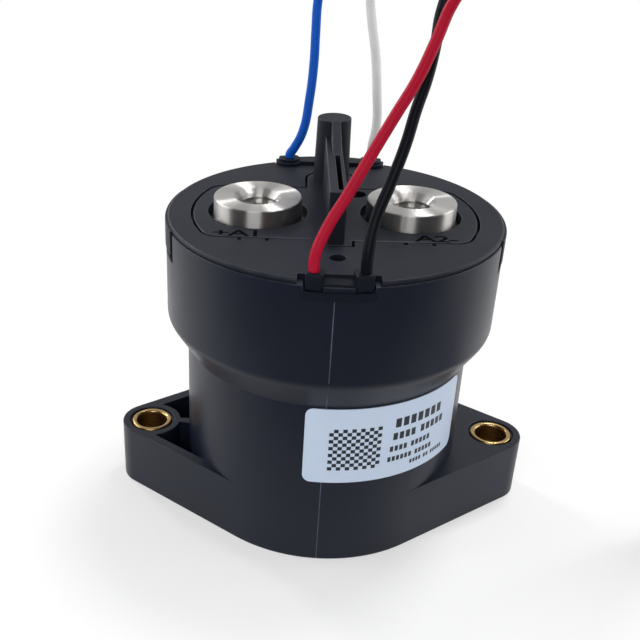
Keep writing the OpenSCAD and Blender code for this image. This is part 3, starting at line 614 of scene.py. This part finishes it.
class CONTACTOR_OT_stage(bpy.types.Operator):
    """Sets up the camera, the pale floor, the white surroundings and the soft lights"""

    bl_idname = "contactor.stage"
    bl_label = "Stage"

    def execute(self, context):
        scene = context.scene
        scene.view_settings.view_transform = "Standard"
        self.aim_camera(scene)
        self.lay_floor(scene)
        self.surround(scene)
        for lamp in SOFTBOXES:
            self.softbox(scene, *lamp)
        return {"FINISHED"}

    def aim_camera(self, scene):
        """The photograph's camera."""
        data = bpy.data.cameras.new("Camera")
        data.sensor_width = SENSOR_WIDTH
        data.lens = CAMERA_FOCAL_PIXELS * SENSOR_WIDTH / FRAME_PIXELS
        data.shift_x, data.shift_y = CAMERA_SHIFT
        data.clip_start = 10 * MM
        camera = bpy.data.objects.new("Camera", data)
        scene.collection.objects.link(camera)
        level = math.cos(CAMERA_ELEVATION)
        back = Vector((
            math.sin(CAMERA_AZIMUTH) * level, -math.cos(CAMERA_AZIMUTH) * level,
            math.sin(CAMERA_ELEVATION),
        ))
        right = (-back).cross(Vector((0, 0, 1))).normalized()
        turn = Matrix((right, back.cross(right), back)).transposed() @ Matrix.Rotation(CAMERA_ROLL, 3, "Z")
        camera.matrix_world = Matrix.LocRotScale(CAMERA_TARGET + back * CAMERA_DISTANCE, turn, None)
        scene.camera = camera

    def lay_floor(self, scene):
        """A pale floor that keeps the part's shadow and goes over into white further out."""
        half = FLOOR_HALF
        corners = [(-half, -half, 0), (half, -half, 0), (half, half, 0), (-half, half, 0)]
        mesh = bpy.data.meshes.new("Floor")
        mesh.from_pydata(corners, [], [(0, 1, 2, 3)])
        floor = bpy.data.objects.new("Floor", mesh)
        scene.collection.objects.link(floor)
        floor.location.z = -FLOOR_DROP
        material, tree = new_finish("Pale floor")
        camera, gloss, glass = self.rays(tree)
        reach = tree.node("ShaderNodeVectorMath", {"operation": "LENGTH"}, {0: tree.place()}, output="Value")
        depth = tree.node("ShaderNodeSeparateXYZ", {}, {0: tree.place()}, output="Y")
        far = tree.ramp(reach, *FLOOR_FADE)
        front = tree.ramp(FRONT_PER_METRE * depth, *FRONT_FADE)
        paper = tree.node("ShaderNodeBsdfDiffuse", {}, {"Color": PAPER_COLOUR})
        shade = tree.blend(front * gloss, (1, 1, 1), DARK_SIDE)
        glow = tree.node("ShaderNodeEmission", {}, {"Color": shade, "Strength": 1.0})
        share = far * (camera + glass) + gloss * (far + front - far * front)
        tree.finish(tree.node("ShaderNodeMixShader", {}, {0: share, 1: paper, 2: glow}))
        mesh.materials.append(material)

    def rays(self, tree):
        """Flags of the rays that show the surroundings: from the camera, a gloss or through glass."""
        flags = ("Is Camera Ray", "Is Glossy Ray", "Is Transmission Ray")
        return [tree.node("ShaderNodeLightPath", output=flag) for flag in flags]

    def surround(self, scene):
        """White surroundings; a gloss finds them darker on the photographer's side."""
        world = bpy.data.worlds.new("Studio")
        scene.world = world
        tree = Tree(world, "ShaderNodeOutputWorld")
        camera, gloss, glass = self.rays(tree)
        heading = tree.node("ShaderNodeTexCoord", output="Generated")
        depth = tree.node("ShaderNodeSeparateXYZ", {}, {0: heading}, output="Y")
        behind = tree.ramp(0.5 + 0.5 * depth, *SKY_FADE)
        strength = AMBIENT + (1 - AMBIENT) * (camera + glass) + gloss * (behind - AMBIENT)
        tree.finish(tree.node("ShaderNodeBackground", {}, {"Color": (1, 1, 1), "Strength": strength}))

    def softbox(self, scene, name, at, side, power):
        """A square lamp that faces the part."""
        data = bpy.data.lights.new(name, "AREA")
        data.shape = "SQUARE"
        data.size = side * MM
        data.energy = power
        lamp = bpy.data.objects.new(name, data)
        scene.collection.objects.link(lamp)
        lamp.location = Vector(at) * MM
        aim = LIGHT_AIM - lamp.location
        lamp.rotation_euler = aim.to_track_quat("-Z", "Y").to_euler()


class CONTACTOR_OT_leads(bpy.types.Operator):
    """Makes the four flying leads, their coil, their stripped ends and the tie"""

    bl_idname = "contactor.leads"
    bl_label = "Leads"

    def execute(self, context):
        sizes = context.scene.contactor_sizes
        colours = context.scene.contactor_colours
        copper = plain_metal("Stranded conductor", linear("#c98d62"), roughness=0.3)
        for node, route in LEAD_ROUTES.items():
            finish = insulation(node.replace("_", " "), tuple(getattr(colours, node)))
            self.lay_lead(sizes, node, route, finish, copper)
        self.fit_tie(tuple(colours.tie))
        return {"FINISHED"}

    def lay_lead(self, sizes, node, route, finish, copper):
        """One lead along its route and round the coil, with its bare end."""
        points = [Vector(point) * MM for point in route]
        laid = sum((b - a).length for a, b in zip(points, points[1:]))
        coil, turn = coil_points(points[-1], sizes.lead_length - laid, sizes.coil_pitch)
        bare, _ = coil_points(points[-1], sizes.strip_length, sizes.coil_pitch, turn)
        name = node.replace("_lead", "_flying_lead")
        lead = new_piece(
            name, smooth_curve(name, points + coil[1:], sizes.lead_diameter), [finish]
        )
        tip = new_piece(
            name + "_end", smooth_curve(name + "_end", bare, sizes.conductor_diameter), [copper]
        )
        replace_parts(lead, node, "lead_coil")

    def fit_tie(self, tone):
        """A flat band round one side of the coil."""
        thick = 0.45 * MM
        width = 2.4 * MM
        low = Vector((7.4, 0.02)) * MM
        high = Vector((14.9, 9.8)) * MM
        bend = 1.1 * MM
        corners = [
            ((high.x - bend, high.y - bend), 0), ((low.x + bend, high.y - bend), 90),
            ((low.x + bend, low.y + bend), 180), ((high.x - bend, low.y + bend), 270),
        ]
        outer = [point for centre, start in corners for point in quarter(centre, bend, start)]
        inner = [point for centre, start in corners for point in quarter(centre, bend - thick, start)]
        rings = []
        for (x, z), (inside_x, inside_z) in zip(outer, inner):
            rings.append([
                Vector((x, -width / 2, z)), Vector((x, width / 2, z)),
                Vector((inside_x, width / 2, inside_z)), Vector((inside_x, -width / 2, inside_z)),
            ])
        finish = moulded("Tie nylon", tone, roughness=0.4, gloss=0.4)
        mesh = skinned("coil_tie_band", rings, joined=True)
        tie = new_piece("coil_tie_band", mesh, [finish])
        tie.matrix_world = Matrix.LocRotScale(COIL_CENTRE, Matrix.Rotation(TIE_ANGLE, 3, "Z"), None)
        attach(tie, "root")
        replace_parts(tie, "coil_tie")


class CONTACTOR_OT_mouldings(bpy.types.Operator):
    """Rounds and finishes the housing, the cap and the terminal insulator"""

    bl_idname = "contactor.mouldings"
    bl_label = "Mouldings"

    def execute(self, context):
        sizes = context.scene.contactor_sizes
        colours = context.scene.contactor_colours
        housing_tone = tuple(colours.housing)
        cap_tone = tuple(colours.cap)
        satin = moulded("Housing moulding", housing_tone, roughness=0.3, gloss=0.24)
        # Housing and cap edges are painted paler than their faces: partly wear, partly a painted highlight.
        satin_edge = worn_and_highlit_edge("Housing edges", cap_tone, roughness=0.34)
        grained = moulded("Cap moulding", cap_tone, roughness=0.48, gloss=0.14, grain_depth=0.009 * MM)
        grained_edge = worn_and_highlit_edge("Cap edges", cap_tone, roughness=0.4)
        cap_share = 0.7
        rounded_copy(
            "housing", "housing_moulding", satin, satin_edge, sizes.edge_round, joined_flats=False
        )
        rounded_copy("cap", "cap_moulding", grained, grained_edge, sizes.edge_round * cap_share)
        rounded_copy(
            "terminal_insulator", "insulator_moulding", grained, grained_edge, sizes.edge_round
        )
        # The parting ridge is painted much paler than the cap: a painted highlight along the ridge.
        ridge = worn_and_highlit_edge("Parting ridge", tinted(cap_tone, 4.0), roughness=0.5)
        self.draw_parting_line(sizes, ridge)
        return {"FINISHED"}

    def draw_parting_line(self, sizes, finish):
        """The faint ridge that the two mould halves leave down the front; its pale colour is a painted highlight.
        """
        turn = math.radians(-1.2)
        sink = 0.2 * MM
        cup_bend = 1.6 * MM
        below_apron = 2.4 * MM
        profile = [
            (BODY_RADIUS, sink), (BODY_RADIUS, CONE_LOW), (CUP_RADIUS - sink, CONE_HIGH),
            (CUP_RADIUS, CONE_HIGH + cup_bend), (CUP_RADIUS, CUP_RIM - below_apron),
        ]
        points = [on_body(radius, turn, height) for radius, height in profile]
        curve = smooth_curve("parting_line", points, sizes.parting_width)
        for knot in curve.splines[0].bezier_points:
            knot.handle_left_type = "VECTOR"
            knot.handle_right_type = "VECTOR"
        new_piece("parting_line", curve, [finish])


class CONTACTOR_OT_terminals(bpy.types.Operator):
    """Turns the two terminals, with a countersunk and tapped hole"""

    bl_idname = "contactor.terminals"
    bl_label = "Terminals"

    def execute(self, context):
        sizes = context.scene.contactor_sizes
        tone = tuple(context.scene.contactor_colours.nickel)
        finish = turned_metal("Turned nickel", tone, roughness=0.3, streak=1.0)
        for node in ("terminal_a1", "terminal_a2"):
            low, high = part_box(node)
            mesh = skinned(node + "_turned", self.rings(sizes, low.z, high.z, (high.x - low.x) / 2))
            axis = ((low.x + high.x) / 2, (low.y + high.y) / 2, 0)
            piece = new_piece(node + "_turned", mesh, [finish], axis)
            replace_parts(piece, node)
        return {"FINISHED"}

    def rings(self, sizes, low, top, head):
        """Rings from the contact face, round the head and down the tapped hole."""
        sides = 96
        stem = 5.6 * MM
        shoulder = low + 7 * MM
        edge = 0.35 * MM
        sink = 4.75 * MM
        sink_edge = 0.1 * MM
        bore = 3.4 * MM
        depth = 10 * MM
        rings_per_turn = 10
        profile = [
            (stem - edge, low), (stem, low + edge), (stem, shoulder), (head, shoulder),
            *quarter((head - edge, top - edge), edge, start=0), (sink + sink_edge, top),
        ]
        rings = [circle(radius, height, sides) for radius, height in profile]
        steps = round(depth / (sizes.thread_pitch / rings_per_turn))
        for i in range(1, steps + 1):
            height = top - depth * i / steps
            cone = sink - (top - height)

            def wall(angle):
                phase = ((height - low) / sizes.thread_pitch + angle / (2 * math.pi)) % 1.0
                return max(cone, bore + sizes.thread_depth * (1 - abs(2 * phase - 1)))

            rings.append(circle(wall, height, sides))
        return rings


class CONTACTOR_OT_limiters(bpy.types.Operator):
    """Turns the two brass compression limiters"""

    bl_idname = "contactor.limiters"
    bl_label = "Limiters"

    def execute(self, context):
        tone = tuple(context.scene.contactor_colours.brass)
        finish = turned_metal("Turned brass", tone, roughness=0.2, streak=0.3)
        sides = 80
        wall = 1.1 * MM
        rim = 0.4 * MM
        lip = 0.55 * MM
        for node in ("left_limiter", "right_limiter"):
            low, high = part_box(node)
            outer = (high.x - low.x) / 2
            bore = outer - wall
            profile = [
                (bore, low.z), (outer, low.z), *quarter((outer - rim, high.z - rim), rim, start=0),
                *quarter((bore + lip, high.z - lip), lip, start=90),
            ]
            rings = [circle(radius, height, sides) for radius, height in profile]
            axis = ((low.x + high.x) / 2, (low.y + high.y) / 2, 0)
            mesh = skinned(node + "_turned", rings, joined=True)
            piece = new_piece(node + "_turned", mesh, [finish], axis)
            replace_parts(piece, node)
        return {"FINISHED"}


class CONTACTOR_OT_grommets(bpy.types.Operator):
    """Rounds and finishes the lead grommets and adds the front one's apron"""

    bl_idname = "contactor.grommets"
    bl_label = "Grommets"

    def execute(self, context):
        sizes = context.scene.contactor_sizes
        tone = tuple(context.scene.contactor_colours.rubber)
        rubber = moulded("Grommet rubber", tone, roughness=0.46, gloss=0.12, grain_depth=0.012 * MM)
        # The grommets' edges are painted paler: partly wear, partly a painted highlight.
        edge = worn_and_highlit_edge("Grommet edges", tone, roughness=0.5)
        grommet_share = 0.4
        edge_round = sizes.edge_round * grommet_share
        rounded_copy("aux_lead_grommet", "aux_grommet_rubber", rubber, edge, edge_round)
        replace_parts(self.front_boots(rubber), "coil_lead_grommet")
        half = math.radians(11.2)
        span = (CUP_RIM - 2.6 * MM, CUP_RIM - 1 * MM)
        thick = 0.22 * MM
        corner = 0.6 * MM
        apron = patches("grommet_apron", CUP_RADIUS, thick, [((-half, half), span)], corner)
        new_piece("grommet_apron", apron, [rubber])
        return {"FINISHED"}

    def front_boots(self, rubber):
        """Two soft boots that follow the cup's side, and the ledge between them."""
        low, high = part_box("coil_lead_grommet")
        half = 1.6 * MM
        boot_round = 0.5 * MM
        ledge_half = 4.4 * MM
        ledge_front = low.y + 0.3 * MM
        ledge_top = high.z - 1.8 * MM
        ledge_round = 0.12 * MM
        turn = math.asin((high.x - half) / -low.y)
        shape = bmesh.new()
        for side in (-1, 1):
            add_block(
                shape, Vector((-half, low.y, low.z)), Vector((half, high.y, high.z)), boot_round,
                side * turn,
            )
        add_block(
            shape, Vector((-ledge_half, ledge_front, low.z)), Vector((ledge_half, high.y, ledge_top)),
            ledge_round,
        )
        mesh = meshed(shape, "coil_grommet_rubber")
        return new_piece("coil_grommet_rubber", mesh, [rubber])


class CONTACTOR_OT_label(bpy.types.Operator):
    """Wraps the label on the lower body, with plain blocks in place of print"""

    bl_idname = "contactor.label"
    bl_label = "Label"

    def execute(self, context):
        sizes = context.scene.contactor_sizes
        colours = context.scene.contactor_colours
        low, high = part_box("rating_label")
        first = math.radians(-8.7)
        last = math.radians(63)
        thick = 0.15 * MM
        ink_thick = 0.01 * MM
        film = label_film("Label film", tuple(colours.film))
        ink = label_film("Label ink", tuple(colours.ink))
        sheet = patches(
            "label_sheet", BODY_RADIUS, thick, [((first, last), (low.z, high.z))], sizes.label_corner
        )
        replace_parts(new_piece("label_sheet", sheet, [film]), "rating_label")
        print_radius = BODY_RADIUS + thick
        blocks = self.checks(low.z, high.z) + self.lines(high.z, print_radius)
        new_piece("label_print", patches("label_print", print_radius, ink_thick, blocks), [ink])
        return {"FINISHED"}

    def checks(self, low, high):
        """A plain chequered square."""
        count = 12
        first = math.radians(0.6)
        step = math.radians(20.4) / count
        bottom = low + 2.9 * MM
        top = high - 4.4 * MM
        rise = (top - bottom) / count
        return [
            ((first + i * step, first + (i + 1) * step), (bottom + j * rise, bottom + (j + 1) * rise))
            for i in range(count) for j in range(count) if (i + j) % 2 == 0
        ]

    def lines(self, top, radius):
        """Rows of plain blocks: distance from the top, height, first angle and words' block counts."""
        rows = [
            (3.4, 2.0, 26.6, (7,)), (6.6, 1.6, 26, (4, 5)), (9.6, 1.2, 25, (4, 5)),
            (12, 1.1, 24.4, (6, 5)), (14, 0.9, 35, (4, 2, 5)),
        ]
        width_share = 0.62
        gap_share = 0.26
        blocks = []
        for drop, tall, start, words in rows:
            heights = (top - (drop + tall) * MM, top - drop * MM)
            angle = math.radians(start)
            wide = width_share * tall * MM / radius
            gap = gap_share * tall * MM / radius
            for count in words:
                for _ in range(count):
                    blocks.append(((angle, angle + wide), heights))
                    angle += wide + gap
                angle += wide
        return blocks


class CONTACTOR_OT_marks(bpy.types.Operator):
    """Sets the polarity marks beside the terminals as near-black pieces, a painted shade for their sunk strokes.
    """

    bl_idname = "contactor.marks"
    bl_label = "Marks"

    def execute(self, context):
        sizes = context.scene.contactor_sizes
        tone = tuple(context.scene.contactor_colours.mark)
        # Near-black and matt: painted shade in place of the sunk strokes' shade.
        finish = moulded("Sunk marks", tone, roughness=0.8, gloss=0.02)
        height_share = 0.7
        row = -12.4 * MM
        widening = 1.45
        for name, words, x in (("mark_a1", "+A1", -18.4 * MM), ("mark_a2", "A2-", 18.6 * MM)):
            text = bpy.data.curves.new(name, "FONT")
            text.body = words
            text.size = sizes.mark_height / height_share
            text.align_x = "CENTER"
            text.align_y = "CENTER"
            text.extrude = 0.01 * MM
            text.offset = 0.06 * MM
            text.space_character = 0.86
            mark = new_piece(name, text, [finish])
            mark.location = Vector((x, row, CAP_TOP))
            mark.scale.x = widening
            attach(mark, "root")
        return {"FINISHED"}


class CONTACTOR_OT_springs(bpy.types.Operator):
    """Copies the return spring and the contact spring, each riding on its own body"""

    bl_idname = "contactor.springs"
    bl_label = "Springs"

    def execute(self, context):
        finish = plain_metal("Spring wire", linear("#bcbec1"), roughness=0.24)
        core_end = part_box("return_spring")[1].z
        seat_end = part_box("contact_spring")[0].z
        self.close_up("return_spring", "root", finish, core_end, TRAVEL["plunger_slide"])
        self.close_up("contact_spring", "plunger", finish, seat_end, TRAVEL["bridge_slide"])
        return {"FINISHED"}

    def close_up(self, node, body, finish, held_at, travel):
        """A copy of a spring that rides on one body."""
        name = node + "_wire"
        spring = new_piece(name, meshed(solid_shape(node), name), [finish])
        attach(spring, body)
        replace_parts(spring, node)
        low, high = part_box(node)
        clear = 0.02 * MM
        keep = 1 - (travel + clear) / (high.z - low.z)
        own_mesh(spring)


class CONTACTOR_OT_inner_parts(bpy.types.Operator):
    """Finishes the sealed pieces that the housing hides"""

    bl_idname = "contactor.inner_parts"
    bl_label = "Inner parts"

    def execute(self, context):
        finishes = inner_finishes()
        for node, solid in NODES.items():
            if solid.hide_render:
                continue
            solid.data.materials.clear()
            solid.data.materials.append(finishes[NODE_SLOTS[node]])
        return {"FINISHED"}


STEPS = (
    CONTACTOR_OT_stage, CONTACTOR_OT_leads, CONTACTOR_OT_mouldings, CONTACTOR_OT_terminals,
    CONTACTOR_OT_limiters, CONTACTOR_OT_grommets, CONTACTOR_OT_label, CONTACTOR_OT_marks,
    CONTACTOR_OT_springs, CONTACTOR_OT_inner_parts,
)


class CONTACTOR_PT_tools(bpy.types.Panel):
    """Lists the steps that dress the contactor, and what they can be given"""

    bl_idname = "CONTACTOR_PT_tools"
    bl_label = "Contactor"
    bl_space_type = "VIEW_3D"
    bl_region_type = "UI"
    bl_category = "Contactor"

    def draw(self, context):
        for step in STEPS:
            self.layout.operator(step.bl_idname)
        for group in (context.scene.contactor_sizes, context.scene.contactor_colours):
            for key in group.__annotations__:
                self.layout.prop(group, key)


CLASSES = (ContactorSizes, ContactorColours, *STEPS, CONTACTOR_PT_tools)


def register():
    """Makes the steps, their values and the panel known."""
    for made in CLASSES:
        bpy.utils.register_class(made)
    bpy.types.Scene.contactor_sizes = bpy.props.PointerProperty(type=ContactorSizes)
    bpy.types.Scene.contactor_colours = bpy.props.PointerProperty(type=ContactorColours)


def unregister():
    """Takes back what register did."""
    del bpy.types.Scene.contactor_colours
    del bpy.types.Scene.contactor_sizes
    for made in reversed(CLASSES):
        bpy.utils.unregister_class(made)


def main():
    """Runs every step in order."""
    register()
    bpy.ops.contactor.stage()
    bpy.ops.contactor.leads()
    bpy.ops.contactor.mouldings()
    bpy.ops.contactor.terminals()
    bpy.ops.contactor.limiters()
    bpy.ops.contactor.grommets()
    bpy.ops.contactor.label()
    bpy.ops.contactor.marks()
    bpy.ops.contactor.springs()
    bpy.ops.contactor.inner_parts()


if __name__ == "__main__":
    main()
